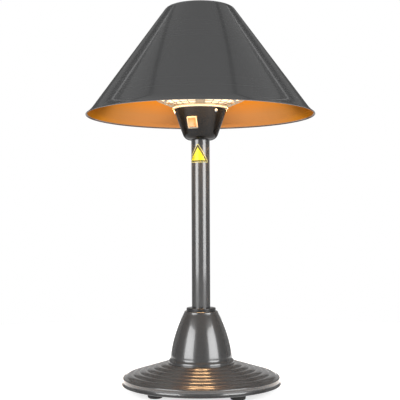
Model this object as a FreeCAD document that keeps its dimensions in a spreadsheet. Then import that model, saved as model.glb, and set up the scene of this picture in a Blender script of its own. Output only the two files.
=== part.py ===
import FreeCAD, Part
import math
import os
import Sketcher
from FreeCAD import Placement, Rotation, Vector

# An electric outdoor heater that stands on the floor: a ribbed round base with a cast weight in it,
# a bell cover, a steel pole, a switch housing, a ring-shaped heat lamp and a wide conical shade.
# Origin: on the floor, on the pole's axis.  +Z is up and -Y is the front.  Lengths are millimetres.

SHEET_NAME = "Sizes"
doc = FreeCAD.newDocument("OutdoorHeater")
sheet = doc.addObject("Spreadsheet::Sheet", SHEET_NAME)
row = 0


class Size:
    """A number that remembers the sheet expression it is worked out from."""

    def __init__(self, value, text):
        self.value = float(value)
        self.text = text

    def __add__(self, other):
        other = as_size(other)
        return Size(self.value + other.value, f"({self.text} + {other.text})")

    def __sub__(self, other):
        other = as_size(other)
        return Size(self.value - other.value, f"({self.text} - {other.text})")

    def __mul__(self, other):
        other = as_size(other)
        return Size(self.value * other.value, f"({self.text} * {other.text})")

    def __truediv__(self, other):
        other = as_size(other)
        return Size(self.value / other.value, f"({self.text} / {other.text})")

    def __rsub__(self, other):
        return as_size(other) - self

    def __neg__(self):
        return as_size(0) - self

    __radd__ = __add__
    __rmul__ = __mul__


def as_size(number):
    """Turn a plain number into a Size, and leave a Size as it is."""
    return number if isinstance(number, Size) else Size(number, repr(float(number)))


def driving(alias, value):
    """Put one driving dimension in the sheet and return it as a Size."""
    global row
    row += 1
    sheet.set(f"A{row}", alias)
    sheet.set(f"B{row}", str(value))
    sheet.setAlias(f"B{row}", alias)
    return Size(value, f"{SHEET_NAME}.{alias}")


# ---- driving dimensions ---------------------------------------------------------------------------

foot_radius = driving("foot_radius", 18.5)
foot_height = driving("foot_height", 20.5)
foot_circle = driving("foot_circle", 141)
foot_turn = driving("foot_turn", -7)
plate_radius = driving("plate_radius", 190.5)
plate_wall = driving("plate_wall", 1.2)
base_lip_bottom = driving("base_lip_bottom", 19.5)
base_rim_radius = driving("base_rim_radius", 198.5)
base_wall_radius = driving("base_wall_radius", 193.6)
base_top = driving("base_top", 72)
base_wall = driving("base_wall", 1.2)
ridge_count = driving("ridge_count", 6)
ridge_start = driving("ridge_start", 86)
ridge_pitch = driving("ridge_pitch", 17)
ridge_arc = driving("ridge_arc", 16.5)
ridge_drop = driving("ridge_drop", 5.2)
ballast_radius = driving("ballast_radius", 168)
ballast_slab = driving("ballast_slab", 7)
boss_radius = driving("boss_radius", 60)
boss_bore = driving("boss_bore", 32)
flange_radius = driving("flange_radius", 62)
flange_thick = driving("flange_thick", 4)
flange_circle = driving("flange_circle", 46)
socket_radius = driving("socket_radius", 30)
socket_height = driving("socket_height", 38)
pole_radius = driving("pole_radius", 23)
pole_wall = driving("pole_wall", 1.5)
pole_top = driving("pole_top", 628.7)
bell_top = driving("bell_top", 201.5)
bell_wall = driving("bell_wall", 1.2)
bell_curve = driving("bell_curve", 350)
collar_radius = driving("collar_radius", 36.6)
collar_height = driving("collar_height", 8)
lead_radius = driving("lead_radius", 3.5)
inlet_distance = driving("inlet_distance", 178)
cup_wall = driving("cup_wall", 1.8)
cup_round = driving("cup_round", 20)
cup_flat = driving("cup_flat", 24.9)
cup_top = driving("cup_top", 705)
cup_mouth = driving("cup_mouth", 66.4)
cup_tilt = driving("cup_tilt", 19.8)
rim_height = driving("rim_height", 6)
lamp_ring = driving("lamp_ring", 107)
lamp_radius = driving("lamp_radius", 5.5)
lamp_height = driving("lamp_height", 738.3)
lamp_gap = driving("lamp_gap", 16)
dish_seat = driving("dish_seat", 734.8)
dish_radius = driving("dish_radius", 119)
shield_height = driving("shield_height", 762.8)
guard_wire = driving("guard_wire", 1)
guard_spokes = driving("guard_spokes", 24)
rod_radius = driving("rod_radius", 5)
rod_bottom = driving("rod_bottom", 698)
rod_top = driving("rod_top", 972)
shade_top = driving("shade_top", 961)
shade_rim = driving("shade_rim", 285)
shade_rim_height = driving("shade_rim_height", 691.2)
shade_kink = driving("shade_kink", 269)
shade_kink_height = driving("shade_kink_height", 706.6)
shade_shoulder = driving("shade_shoulder", 89)
shade_shoulder_height = driving("shade_shoulder_height", 952.8)
shade_wall = driving("shade_wall", 1.0)
liner_wall = driving("liner_wall", 0.6)
knob_radius = driving("knob_radius", 20)
switch_turn = driving("switch_turn", -21.6)
switch_height = driving("switch_height", 668)
bezel_wide = driving("bezel_wide", 26)
bezel_tall = driving("bezel_tall", 30)
rocker_wide = driving("rocker_wide", 19)
rocker_reach = driving("rocker_reach", 11.9)
rocker_tilt = driving("rocker_tilt", 9)
screw_turn = driving("screw_turn", 37)
screw_height = driving("screw_height", 697)
sticker_turn = driving("sticker_turn", -17)
sticker_bottom = driving("sticker_bottom", 571.5)
sticker_height = driving("sticker_height", 49)
tilt_switch_distance = driving("tilt_switch_distance", 45)
tilt_pivot_height = driving("tilt_pivot_height", 104)
doc.recompute()

FIT = 0.05            # radial clearance of a pin in its hole
SLIP = 0.3            # radial clearance of a screw in a plain hole

nodes = {}


def node(label, obj):
    """Name a finished sub-part: its label is the name of its file."""
    obj.Label = label
    nodes[label] = obj
    return obj


def bind(obj, **sizes):
    """Tie properties of an object to the sheet."""
    for name, size in sizes.items():
        size = as_size(size)
        whole = isinstance(getattr(obj, name), int)
        setattr(obj, name, int(size.value) if whole else size.value)
        obj.setExpression(name, size.text)
    return obj


def put(obj, across=0, along=0, up=0, rotation=Rotation()):
    """Place an object, with its position tied to the sheet."""
    place = [as_size(across), as_size(along), as_size(up)]
    obj.Placement = Placement(Vector(*[size.value for size in place]), rotation)
    for name, size in zip("xyz", place):
        obj.setExpression(f"Placement.Base.{name}", size.text)
    return obj


def turned_about_z(degrees):
    return Rotation(Vector(0, 0, 1), degrees)


def on_circle(radius, degrees):
    """The sheet expressions of a point on a circle about the pole."""
    angle = math.radians(degrees)
    return as_size(radius) * math.cos(angle), as_size(radius) * math.sin(angle)


# ---- sketches, turned bodies and primitives -------------------------------------------------------

def origin_plane(body, role):
    return next(item for item in body.Origin.OriginFeatures if item.Role == role)


def new_sketch(body, role, lift=0):
    """A sketch on one of the body's own origin planes, lifted off it along the plane's normal."""
    sketch = body.newObject("Sketcher::SketchObject", "Outline")
    sketch.AttachmentSupport = [(origin_plane(body, role), "")]
    sketch.MapMode = "FlatFace"
    lift = as_size(lift)
    sketch.AttachmentOffset = Placement(Vector(0, 0, lift.value), Rotation())
    sketch.setExpression("AttachmentOffset.Base.z", lift.text)
    return sketch


def tie(sketch, kind, geometry, size):
    """Add a constraint whose value comes from the sheet."""
    index = sketch.addConstraint(Sketcher.Constraint(kind, *geometry, size.value))
    name = f"size_{index}"
    sketch.renameConstraint(index, name)
    sketch.setExpression(f"Constraints.{name}", size.text)


def edge_between(start, end, bulge):
    """A line, or an arc whose radius is bulge: positive bulges right of the way it runs."""
    first, last = Vector(*start, 0), Vector(*end, 0)
    if not bulge:
        return Part.LineSegment(first, last), 1, 2
    chord = last - first
    left = Vector(-chord.y, chord.x, 0).normalize()
    depth = math.sqrt(bulge ** 2 - (chord.Length / 2) ** 2)
    centre = (first + last) * 0.5 + left * math.copysign(depth, bulge)
    ends = [math.atan2(point.y - centre.y, point.x - centre.x) for point in (first, last)]
    circle = Part.Circle(centre, Vector(0, 0, 1), abs(bulge))
    if bulge > 0:
        return Part.ArcOfCircle(circle, ends[0], ends[1]), 1, 2
    return Part.ArcOfCircle(circle, ends[1], ends[0]), 2, 1


def draw(sketch, points):
    """Draw a closed outline.  A point is (across, up), or (across, up, arc to the next point)."""
    corners = [(as_size(point[0]), as_size(point[1])) for point in points]
    bulges = [as_size(point[2] if len(point) > 2 else 0) for point in points]
    made = []
    for index, bulge in enumerate(bulges):
        start = [size.value for size in corners[index]]
        end = [size.value for size in corners[(index + 1) % len(corners)]]
        shape, first, last = edge_between(start, end, bulge.value)
        made.append((sketch.addGeometry(shape, False), first, last))
    for index, (geometry, first, last) in enumerate(made):
        follower, follower_start, _ = made[(index + 1) % len(made)]
        sketch.addConstraint(Sketcher.Constraint("Coincident", geometry, last, follower, follower_start))
        for kind, axis, size in zip(("DistanceX", "DistanceY"), (-2, -1), corners[index]):
            if size.value == 0:
                sketch.addConstraint(Sketcher.Constraint("PointOnObject", geometry, first, axis))
            else:
                tie(sketch, kind, (-1, 1, geometry, first), size)
        if bulges[index].value:
            size = bulges[index] if bulges[index].value > 0 else -bulges[index]
            tie(sketch, "Radius", (geometry,), size)


def new_body(name):
    return doc.addObject("PartDesign::Body", name)


def turned(name, points):
    """A body turned about the upright axis, from an outline given as (radius, height) points."""
    body = new_body(name)
    sketch = new_sketch(body, "XZ_Plane")
    draw(sketch, points)
    revolution = body.newObject("PartDesign::Revolution", "Turned")
    revolution.Profile = sketch
    revolution.ReferenceAxis = (sketch, ["V_Axis"])
    revolution.Angle = 360
    return body


def padded_both_ways(name, role, points, length):
    """A body padded evenly to both sides of one of its origin planes."""
    body = new_body(name)
    sketch = new_sketch(body, role)
    draw(sketch, points)
    pad = body.newObject("PartDesign::Pad", "Pad")
    pad.Profile = sketch
    pad.Midplane = True
    bind(pad, Length=length)
    return body


def drilled(body, radius, circle, degrees, bottom, depth, count=1):
    """Cut upright round holes into a body, evenly spaced on a circle about its axis."""
    across, along = on_circle(circle, degrees)
    sketch = new_sketch(body, "XY_Plane", bottom)
    middle = Vector(across.value, along.value, 0)
    hole = sketch.addGeometry(Part.Circle(middle, Vector(0, 0, 1), as_size(radius).value), False)
    tie(sketch, "Radius", (hole,), as_size(radius))
    for kind, axis, size in zip(("DistanceX", "DistanceY"), (-2, -1), (across, along)):
        if abs(size.value) < 1e-9:
            sketch.addConstraint(Sketcher.Constraint("PointOnObject", hole, 3, axis))
        else:
            tie(sketch, kind, (-1, 1, hole, 3), size)
    doc.recompute()
    before = body.Shape.Volume
    pocket = body.newObject("PartDesign::Pocket", "Drilled")
    pocket.Profile = sketch
    pocket.Reversed = True
    bind(pocket, Length=depth)
    if as_size(count).value > 1:
        pattern = body.newObject("PartDesign::PolarPattern", "Spaced")
        pattern.Originals = [pocket]
        pattern.Axis = (origin_plane(body, "Z_Axis"), [""])
        pattern.Angle = 360
        bind(pattern, Occurrences=count)
        body.Tip = pattern
    doc.recompute()
    if body.Shape.Volume >= before:
        raise RuntimeError(f"{body.Name}: a drilled hole cuts nothing")
    return body


def cylinder(radius, height, bottom=0):
    return put(bind(doc.addObject("Part::Cylinder", "Round"), Radius=radius, Height=height), up=bottom)


def hexagon(corner_radius, height, bottom=0):
    made = doc.addObject("Part::Prism", "Hexagon")
    made.Polygon = 6
    return put(bind(made, Circumradius=corner_radius, Height=height), up=bottom)


def block(wide, deep, tall, across=0, along=0, bottom=0):
    """A box centred across and along, standing on bottom."""
    made = bind(doc.addObject("Part::Box", "Block"), Length=wide, Width=deep, Height=tall)
    return put(made, across - as_size(wide) / 2, along - as_size(deep) / 2, bottom)


def torus(ring_radius, wire_radius, height=0, start=0, sweep=360):
    made = bind(doc.addObject("Part::Torus", "Ring"), Radius1=ring_radius, Radius2=wire_radius, Angle3=sweep)
    return put(made, up=height, rotation=turned_about_z(start))


def joined(*parts):
    made = doc.addObject("Part::MultiFuse", "Joined")
    made.Shapes = list(parts)
    return made


def cut_from(base, *tools):
    """Cut tools out of a base, and check that they remove something."""
    made = doc.addObject("Part::Cut", "Cut")
    made.Base = base
    made.Tool = tools[0] if len(tools) == 1 else joined(*tools)
    doc.recompute()
    if made.Shape.Volume >= base.Shape.Volume:
        raise RuntimeError(f"{base.Name}: a cut removes nothing")
    return made


def group(label, parts):
    """Several separate solids that share one node."""
    made = doc.addObject("Part::Compound", "Group")
    made.Links = parts
    return node(label, made)


def around(label, maker, count, circle, start, up=0):
    """Equal pieces, evenly spaced on a circle about the pole, in one node."""
    parts = []
    for index in range(count):
        degrees = start + index * 360 / count
        across, along = on_circle(circle, degrees)
        parts.append(put(maker(), across, along, up, turned_about_z(degrees)))
    return group(label, parts)


def tube_along(label, points, radius, bends):
    """A round tube along straight runs that are joined by tangent arcs, no larger than bends."""
    corners = [Vector(*[as_size(value).value for value in point]) for point in points]
    runs = [(after - before).Length for before, after in zip(corners, corners[1:])]
    edges = []
    start = corners[0]
    for index in range(1, len(corners) - 1):
        arriving = (corners[index] - corners[index - 1]).normalize()
        leaving = (corners[index + 1] - corners[index]).normalize()
        half_turn = arriving.getAngle(leaving) / 2
        shares = [0.9 if near_end else 0.45 for near_end in (index == 1, index == len(corners) - 2)]
        room = min(runs[index - 1] * shares[0], runs[index] * shares[1]) / math.tan(half_turn)
        bend = min(bends[index - 1], room)
        inset = bend * math.tan(half_turn)
        first = corners[index] - arriving * inset
        last = corners[index] + leaving * inset
        sideways = (leaving - arriving).normalize()
        middle = corners[index] + sideways * (bend / math.cos(half_turn) - bend)
        edges.append(Part.LineSegment(start, first).toShape())
        edges.append(Part.Arc(first, middle, last).toShape())
        start = last
        print(f"{label}: bend {index} has radius {bend:.1f}")
    edges.append(Part.LineSegment(start, corners[-1]).toShape())
    path = Part.Wire(edges)
    section = Part.Wire(Part.Circle(corners[0], corners[1] - corners[0], as_size(radius).value).toShape())
    shape = path.makePipeShell([section], True, True)
    expected = math.pi * as_size(radius).value ** 2 * path.Length
    if abs(shape.Volume - expected) > 0.01 * expected:
        raise RuntimeError(f"{label}: the tube's volume is wrong")
    return shape


def loose_shape(label, shape):
    made = doc.addObject("Part::Feature", "Shape")
    made.Shape = shape
    made.Placement = Placement()
    return node(label, made)


# ---- base -----------------------------------------------------------------------------------------

plate_top = foot_height + plate_wall
slab_top = plate_top + ballast_slab
flange_top = base_top + flange_thick
screw_hole = 3 + FIT
foot_names = {"foot_rear_right": 0, "foot_rear_left": 1, "foot_front_left": 2, "foot_front_right": 3}
foot_start = 45 + foot_turn.value


def make_feet():
    """Rubber feet, each with a counterbore for its screw's head."""
    for label, place in foot_names.items():
        foot = turned("Foot", [
            (6.5, 0),
            (foot_radius - 5, 0, 5),
            (foot_radius, 5),
            (foot_radius, 13),
            (foot_radius - 2, foot_height),
            (3.2, foot_height),
            (3.2, 8),
            (6.5, 8),
        ])
        across, along = on_circle(foot_circle, foot_start + 90 * place)
        node(label, put(foot, across, along))


def make_foot_screws():
    def screw():
        return joined(cylinder(5.6, 3, 5), cylinder(3, slab_top - 8, 8))
    around("foot_screws", screw, 4, foot_circle, foot_start)


def make_bottom_plate():
    plate = turned("BottomPlate", [
        (0, foot_height),
        (plate_radius, foot_height),
        (plate_radius, plate_top),
        (0, plate_top),
    ])
    drilled(plate, 3 + SLIP, foot_circle, foot_start, foot_height - 1, plate_wall + 2, 4)
    drilled(plate, 6.8, inlet_distance, 90, foot_height - 1, plate_wall + 2)
    node("bottom_plate", plate)


def make_ballast():
    """Cast weight: a slab with a raised boss that carries the pole, and a window for the lead."""
    weight = turned("Ballast", [
        (14, plate_top),
        (ballast_radius, plate_top),
        (ballast_radius, slab_top - 3),
        (ballast_radius - 4, slab_top),
        (boss_radius + 6, slab_top, -6),
        (boss_radius, slab_top + 6),
        (boss_radius, base_top - base_wall),
        (boss_bore, base_top - base_wall),
        (boss_bore, slab_top),
        (14, slab_top),
    ])
    drilled(weight, screw_hole, foot_circle, foot_start, plate_top - 1, ballast_slab + 2, 4)
    drilled(weight, 4 + FIT, flange_circle, 45, 47, 30, 4)
    window = block(11, 60, 14, 0, (boss_bore + boss_radius) / 2, slab_top)
    node("ballast_weight", cut_from(weight, window))


def make_base_pan():
    """Spun cover of the base: a flat seat, round ridges, a rolled top edge and a flared lip."""
    count = int(ridge_count.value)
    valleys = [(ridge_start + ridge_pitch * k, base_top - ridge_drop * k) for k in range(count + 1)]
    edge_radius, edge_height = valleys[-1]
    upper = [(20, base_top), (ridge_start - 2, base_top)]
    upper += [(radius, height, -ridge_arc) for radius, height in valleys[:-1]]
    upper += [
        (edge_radius, edge_height),
        (base_wall_radius - 0.2, edge_height - 1.7, -3.6),
        (base_wall_radius, edge_height - 8.6),
        (base_wall_radius, edge_height - 14.6, 9),
        (base_rim_radius, base_lip_bottom + 1.3),
        (base_rim_radius - 1.2, base_lip_bottom),
    ]
    inner_wall = base_wall_radius - base_wall
    lower = [
        (base_rim_radius - 2.7, base_lip_bottom),
        (inner_wall, edge_height - 14.2),
        (inner_wall, edge_height - 3.8),
    ]
    lowered = [(radius, height - base_wall) for radius, height in reversed(valleys)]
    lower += [(*lowered[index], ridge_arc) for index in range(count)]
    lower += [lowered[-1], (ridge_start - 2, base_top - base_wall), (20, base_top - base_wall)]
    pan = turned("BasePan", upper + lower)
    drilled(pan, 4 + SLIP, flange_circle, 45, base_top - base_wall - 1, base_wall + 2, 4)
    node("base_pan", pan)


def make_inlet_bush():
    """Bush in the bottom plate that the supply lead would enter through."""
    bush = turned("InletBush", [
        (lead_radius + FIT, foot_height - 3),
        (8, foot_height - 3, 1.6),
        (9.5, foot_height - 1.5),
        (9.5, foot_height),
        (6.7, foot_height),
        (6.7, plate_top + 1),
        (lead_radius + FIT, plate_top + 1),
    ])
    node("inlet_bush", put(bush, 0, inlet_distance))


# ---- pole, bell cover and what they hide ----------------------------------------------------------

bolt_seat = flange_top + 1.6
grub_height = flange_top + 22
tilt_base = flange_top


def make_pole_flange():
    """Welded foot of the pole: a bolted disc with a short socket."""
    flange = turned("PoleFlange", [
        (6, base_top),
        (flange_radius, base_top),
        (flange_radius, flange_top),
        (socket_radius, flange_top),
        (socket_radius, flange_top + socket_height - 2),
        (socket_radius - 2, flange_top + socket_height),
        (pole_radius + FIT, flange_top + socket_height),
        (pole_radius + FIT, flange_top),
        (6, flange_top),
    ])
    drilled(flange, 4 + SLIP, flange_circle, 45, base_top - 1, flange_thick + 2, 4)
    drilled(flange, 2.5 + FIT, flange_circle, 180, base_top - 1, flange_thick + 2)
    drills = []
    for index in range(3):
        drill = cylinder(3 + FIT, 16)
        turn = turned_about_z(90 + index * 120) * Rotation(Vector(0, 1, 0), 90)
        across, along = on_circle(pole_radius - 2, 90 + index * 120)
        drills.append(put(drill, across, along, grub_height, turn))
    node("pole_flange", cut_from(flange, *drills))


def make_flange_fasteners():
    def washer():
        return cut_from(cylinder(8, 1.6, flange_top), cylinder(4 + SLIP, 4, flange_top - 1))

    def bolt():
        return joined(hexagon(7.5, 5.3, bolt_seat), cylinder(4, bolt_seat - 50, 50))

    def grub():
        body = cut_from(cylinder(3, 8), hexagon(1.7, 3, 5.5))
        holder = doc.addObject("Part::Compound", "Turned")
        body.Placement = Placement(Vector(), Rotation(Vector(0, 1, 0), 90))
        holder.Links = [body]
        return holder

    around("flange_washers", washer, 4, flange_circle, 45)
    around("flange_bolts", bolt, 4, flange_circle, 45)
    around("pole_grub_screws", grub, 3, pole_radius, 90, grub_height)


def make_earth_screw():
    screw = turned("EarthScrew", [
        (0, base_top),
        (2.5, base_top),
        (2.5, flange_top),
        (5, flange_top),
        (5, flange_top + 1),
        (4.6, flange_top + 1),
        (4.6, flange_top + 3.4, 2.4),
        (3, flange_top + 4.6),
        (0, flange_top + 4.6),
    ])
    node("earth_screw", put(screw, -flange_circle))


def make_pole():
    pole = turned("Pole", [
        (pole_radius - pole_wall, flange_top),
        (pole_radius, flange_top),
        (pole_radius, pole_top),
        (pole_radius - pole_wall, pole_top),
    ])
    node("pole_tube", pole)


def make_bell():
    """Thin bell that hides the pole's foot, and the plastic collar on top of it."""
    seat = base_top + 6
    wall = bell_wall
    bell = turned("Bell", [
        (27, bell_top - wall),
        (38.8, bell_top - wall, -2.8),
        (41.2, bell_top - 4),
        (42.5 - wall, bell_top - 5, -bell_curve),
        (77.4 - wall, 89.6, 14),
        (82.3 - wall, seat + 0.2),
        (82.3 - wall, base_top),
        (82.3, base_top),
        (82.3, seat),
        (82.0, seat + 0.6, -13),
        (77.4, 89.3, bell_curve),
        (42.5, bell_top - 4.5),
        (42.3, bell_top - 3.6, 3.8),
        (39.5, bell_top),
        (27, bell_top),
    ])
    node("bell_cover", bell)
    collar = turned("Collar", [
        (pole_radius + SLIP, bell_top - 5.5),
        (26.8, bell_top - 5.5),
        (26.8, bell_top),
        (collar_radius, bell_top),
        (collar_radius, bell_top + collar_height - 2, 2),
        (collar_radius - 2, bell_top + collar_height),
        (pole_radius + SLIP, bell_top + collar_height),
    ])
    node("bell_collar", collar)


def make_tilt_switch():
    """Safety switch: a weight that swings between two cheeks beside a contact block."""
    place = tilt_switch_distance
    cheeks = [block(28, 2, 36, place, side * 11, tilt_base) for side in (-1, 1)]
    bracket = joined(block(28, 20, 2, place, 0, tilt_base), *cheeks)
    pivot_hole = put(cylinder(1.5 + 0.01, 30), place, 15, tilt_pivot_height, Rotation(Vector(1, 0, 0), 90))
    node("tilt_switch_bracket", cut_from(bracket, pivot_hole))

    pin = put(cylinder(1.5, 25), place, 12.5, tilt_pivot_height, Rotation(Vector(1, 0, 0), 90))
    node("tilt_pivot_pin", pin)

    across = Rotation(Vector(1, 0, 0), 90)
    hub = put(cylinder(4, 12), place, 6, tilt_pivot_height, across)
    stem = block(4, 6, 18, place, 0, tilt_pivot_height - 19)
    bob = put(cylinder(7, 12), place, 6, tilt_pivot_height - 18, across)
    running_hole = put(cylinder(1.5 + FIT, 20), place, 10, tilt_pivot_height, across)
    node("tilt_pendulum", cut_from(joined(hub, stem, bob), running_hole))
    node("tilt_contact_block", block(14, 6, 16, place, 15, tilt_base + 8))


def make_sticker():
    """Blank triangular label wrapped round the pole, just under the switch housing."""
    outside = cylinder(pole_radius + 0.25, sticker_height, sticker_bottom)
    shell = cut_from(outside, cylinder(pole_radius + 0.02, sticker_height + 2, sticker_bottom - 1))
    half = 22.2
    wedge = new_body("Wedge")
    sketch = new_sketch(wedge, "XZ_Plane")
    draw(sketch, [
        (-half, sticker_bottom),
        (half, sticker_bottom),
        (half, sticker_bottom + 2),
        (1.5, sticker_bottom + sticker_height),
        (-1.5, sticker_bottom + sticker_height),
        (-half, sticker_bottom + 2),
    ])
    pad = wedge.newObject("PartDesign::Pad", "Pad")
    pad.Profile = sketch
    bind(pad, Length=pole_radius + 2)
    label = doc.addObject("Part::Common", "Label")
    label.Base = shell
    label.Tool = wedge
    label.Placement = Placement(Vector(), turned_about_z(sticker_turn.value))
    node("pole_sticker", label)


# ---- switch housing -------------------------------------------------------------------------------

def on_cup(turn, height, outward=0):
    """The frame of a piece on the cup's wall: X across, Y up the wall, Z out of it."""
    slope = math.tan(math.radians(cup_tilt.value))
    radius = cup_mouth.value - slope * (cup_top.value - height)
    angle = math.radians(turn)
    place = Vector(radius * math.sin(angle), -radius * math.cos(angle), height)
    rotation = turned_about_z(turn) * Rotation(Vector(1, 0, 0), 90 + cup_tilt.value)
    return Placement(place + rotation.multVec(Vector(0, 0, outward)), rotation)


def make_cup():
    """Cup-shaped housing: a flat floor, a round corner and a cone up to the mouth."""
    lean = math.radians(cup_tilt.value)
    corner = (cup_flat + cup_round * math.cos(lean), pole_top + cup_round * (1 - math.sin(lean)))
    inner_round = cup_round - cup_wall
    inner_corner = (cup_flat + inner_round * math.cos(lean), pole_top + cup_round - inner_round * math.sin(lean))
    cup = turned("Cup", [
        (12.3, pole_top),
        (cup_flat, pole_top, cup_round),
        corner,
        (cup_mouth, cup_top),
        (cup_mouth - cup_wall / math.cos(lean), cup_top),
        (*inner_corner, -inner_round),
        (cup_flat, pole_top + cup_wall),
        (12.3, pole_top + cup_wall),
    ])
    window = block(bezel_wide - 2.6, bezel_tall - 2.6, 30, 0, 0, -15)
    holder = doc.addObject("Part::Compound", "Window")
    holder.Links = [window]
    holder.Placement = on_cup(switch_turn.value, switch_height.value)
    drills = []
    for index in range(3):
        drill = doc.addObject("Part::Compound", "Drill")
        drill.Links = [cylinder(2 + SLIP, 12, -6)]
        drill.Placement = on_cup(screw_turn.value + index * 120, screw_height.value)
        drills.append(drill)
    node("switch_housing", cut_from(cup, holder, *drills))


def make_housing_screws():
    screws = []
    for index in range(3):
        screw = turned("HousingScrew", [
            (0, -11),
            (2, -11),
            (2, 0.05),
            (4, 0.05),
            (4, 0.8, 3),
            (2, 2.3),
            (0, 2.3),
        ])
        screw.Placement = on_cup(screw_turn.value + index * 120, screw_height.value)
        screws.append(screw)
    group("housing_screws", screws)


def make_pole_top():
    """Plug welded into the pole, with the threaded nipple that holds the housing."""
    plug = turned("PoleInsert", [
        (8, pole_top - 30),
        (pole_radius - pole_wall - FIT, pole_top - 30),
        (pole_radius - pole_wall - FIT, pole_top),
        (12, pole_top),
        (12, pole_top + 20),
        (11, pole_top + 21),
        (8, pole_top + 21),
    ])
    node("pole_insert", plug)
    washer = turned("NippleWasher", [
        (12.2, pole_top + cup_wall),
        (22, pole_top + cup_wall),
        (22, pole_top + cup_wall + 2),
        (12.2, pole_top + cup_wall + 2),
    ])
    node("nipple_washer", washer)
    seat = pole_top + cup_wall + 2
    node("nipple_nut", cut_from(hexagon(18.5, 10, seat), cylinder(12 + FIT, 14, seat - 2)))


def make_head_plate():
    """Rim ring on the cup's mouth, and the plate with a skirt that closes it."""
    ring = turned("RimRing", [
        (64, cup_top),
        (67.6, cup_top),
        (68.3, cup_top + 1, 3.4),
        (67.9, cup_top + rim_height),
        (64, cup_top + rim_height),
    ])
    node("housing_rim_ring", ring)
    top = cup_top + rim_height
    plate = turned("HeadPlate", [
        (rod_radius + 0.2, top),
        (58, top),
        (58, top - 17),
        (59.5, top - 17),
        (59.5, top),
        (66, top),
        (66, top + 1.5),
        (rod_radius + 0.2, top + 1.5),
    ])
    for side in (-6, 6):
        hole = put(cylinder(3.5 + FIT, 6), side, 46, top - 2)
        plate = cut_from(plate, hole)
    drills = []
    for index in range(3):
        drill = doc.addObject("Part::Compound", "Drill")
        drill.Links = [cylinder(2 + FIT, 20, -16)]
        drill.Placement = on_cup(screw_turn.value + index * 120, screw_height.value)
        drills.append(drill)
    node("head_plate", cut_from(plate, *drills))
    bushes = []
    for side in (-6, 6):
        bush = turned("LeadBush", [
            (1.5, top - 3),
            (3.5, top - 3),
            (3.5, top + 1.5),
            (5, top + 1.5),
            (5, top + 4),
            (1.5, top + 4),
        ])
        bushes.append(put(bush, side, 46))
    group("lead_bushes", bushes)


def make_terminals():
    """Bracket under the head plate with the terminal block, its screws and the thermal cut-out."""
    top = cup_top + rim_height
    upright = block(40, 1.5, 51, 0, -10.75, top - 51)
    foot = block(40, 11, 1.5, 0, -17, top - 1.5)
    node("terminal_bracket", joined(upright, foot))
    node("terminal_block", block(34, 16, 16, 0, -2, top - 51))
    screws = [put(joined(cylinder(2.6, 1.2), cylinder(2, 2)), side, -2, top - 35) for side in (-11, 0, 11)]
    group("terminal_screws", screws)
    body = joined(cylinder(8, 5), cylinder(11, 1, 5), block(6, 0.8, 7, 5, 0, -7), block(6, 0.8, 7, -5, 0, -7))
    node("thermal_cutout", put(body, -34, 12, top - 6))


def make_supply_lead():
    """Inner lead: up from the bush, in under the pan, through the boss and up the pole."""
    run = plate_top + 15.5
    route = [
        (0, inlet_distance, foot_height - 2),
        (0, inlet_distance, run),
        (0, 0, run),
        (0, 0, cup_top + rim_height - 51),
    ]
    loose_shape("supply_lead", tube_along("supply_lead", route, lead_radius, (14, 22)))


# ---- switch ---------------------------------------------------------------------------------------

pivot_depth = -1.4
pin_radius = 1.25


def make_switch():
    """Rocker switch on the cup's wall: frame, body, pin, terminals, and the rocker in its on position."""
    place = on_cup(switch_turn.value, switch_height.value)
    frame = cut_from(
        block(bezel_wide, bezel_tall, 2, 0, 0, FIT),
        block(rocker_wide + 0.6, rocker_reach * 2 + 0.6, 6, 0, 0, -2),
    )
    frame.Placement = place
    node("switch_frame", frame)

    case = cut_from(
        block(bezel_wide - 3, bezel_tall - 3, 22, 0, 0, FIT - 22),
        block(rocker_wide + 0.6, rocker_reach * 2 + 0.6, 12, 0, 0, -9),
        put(cylinder(pin_radius + 0.01, 40), -20, 0, pivot_depth, Rotation(Vector(0, 1, 0), 90)),
    )
    case.Placement = place
    node("switch_case", case)

    pin = doc.addObject("Part::Compound", "Pin")
    pin.Links = [put(cylinder(pin_radius, 22.6), -11.3, 0, pivot_depth, Rotation(Vector(0, 1, 0), 90))]
    pin.Placement = place
    node("rocker_pin", pin)

    blades = doc.addObject("Part::Compound", "Blades")
    blades.Links = [block(6.3, 0.8, 8, 0, up, FIT - 30) for up in (-8, 0, 8)]
    blades.Placement = place
    node("switch_terminals", blades)

    reach = rocker_reach
    rocker = padded_both_ways("Rocker", "YZ_Plane", [
        (0, 2.0 - pivot_depth),
        (-(reach - 0.8), 3.7 - pivot_depth, reach),
        (-(reach - 0.5), -3.4),
        (-2, -3.4),
        (-1.4, -6.5),
        (1.4, -6.5),
        (2, -3.4),
        (reach - 0.5, -3.4, reach),
        (reach - 0.8, 3.7 - pivot_depth),
    ], rocker_wide)
    bore = put(cylinder(pin_radius + FIT, 40), -20, 0, 0, Rotation(Vector(0, 1, 0), 90))
    rocker = cut_from(rocker, bore)
    tilt = Placement(Vector(0, 0, pivot_depth), Rotation(Vector(1, 0, 0), -rocker_tilt.value))
    rocker.Placement = place * tilt
    node("switch_rocker", rocker)


# ---- heat lamp, reflector and guard ---------------------------------------------------------------

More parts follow.
